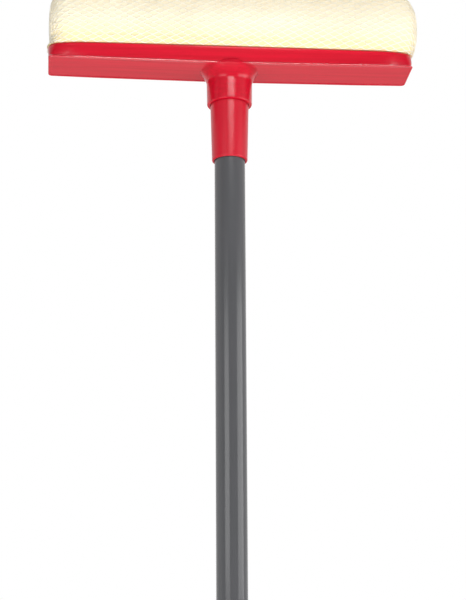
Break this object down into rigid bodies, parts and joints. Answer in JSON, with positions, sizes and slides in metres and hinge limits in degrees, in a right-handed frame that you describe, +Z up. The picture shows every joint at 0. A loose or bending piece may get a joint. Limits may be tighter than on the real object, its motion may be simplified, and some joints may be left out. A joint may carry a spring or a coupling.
{
  "type": "window cleaning tool",
  "caption": "Window washing tool: a net-covered sponge and a rubber blade on a moulded head, with a socket on a straight round handle that ends in a hanging eye.",
  "frame": {"origin": "middle of the flat end of the handle's end cap, on the handle's axis", "axes": "+Z up along the handle towards the head, +X along the head, -Y towards the sponge side, +Y towards the rubber blade"},
  "size_m": [0.2572, 0.0798, 0.9011],
  "materials": {
    "red_plastic": "moulded, soft gloss",
    "red_sleeve_plastic": "moulded, satin",
    "red_cap_plastic": "moulded, satin",
    "grey_coated_steel": "satin coating",
    "zinc_sheet": "rolled, plated",
    "screw_steel": "plated",
    "black_rubber": "extruded, cut edge",
    "white_plastic": "moulded, matte",
    "cream_foam": "open-cell foam",
    "cream_net": "knitted net"
  },
  "bodies": {
    "handle": {"handle_tube": "grey_coated_steel", "handle_adapter": "red_sleeve_plastic", "end_cap": "red_cap_plastic"},
    "head": {"head_body": "red_plastic", "blade_channel": "zinc_sheet", "channel_screw_left": "screw_steel", "channel_screw_middle": "screw_steel", "channel_screw_right": "screw_steel"},
    "sponge": {"sponge_plate": "white_plastic", "sponge_core": "cream_foam", "sponge_net": "cream_net"},
    "blade": {"squeegee_blade": "black_rubber"}
  },
  "joints": [
    {"name": "head_pull", "type": "slide", "parent": "handle", "child": "head", "axis": [0, 0, 1], "range_m": [0, 0.0285]},
    {"name": "sponge_lift", "type": "slide", "parent": "head", "child": "sponge", "axis": [0, 0, 1], "range_m": [0, 0.02]},
    {"name": "blade_slide", "type": "slide", "parent": "head", "child": "blade", "axis": [1, 0, 0], "range_m": [0, 0.2392]}
  ]
}
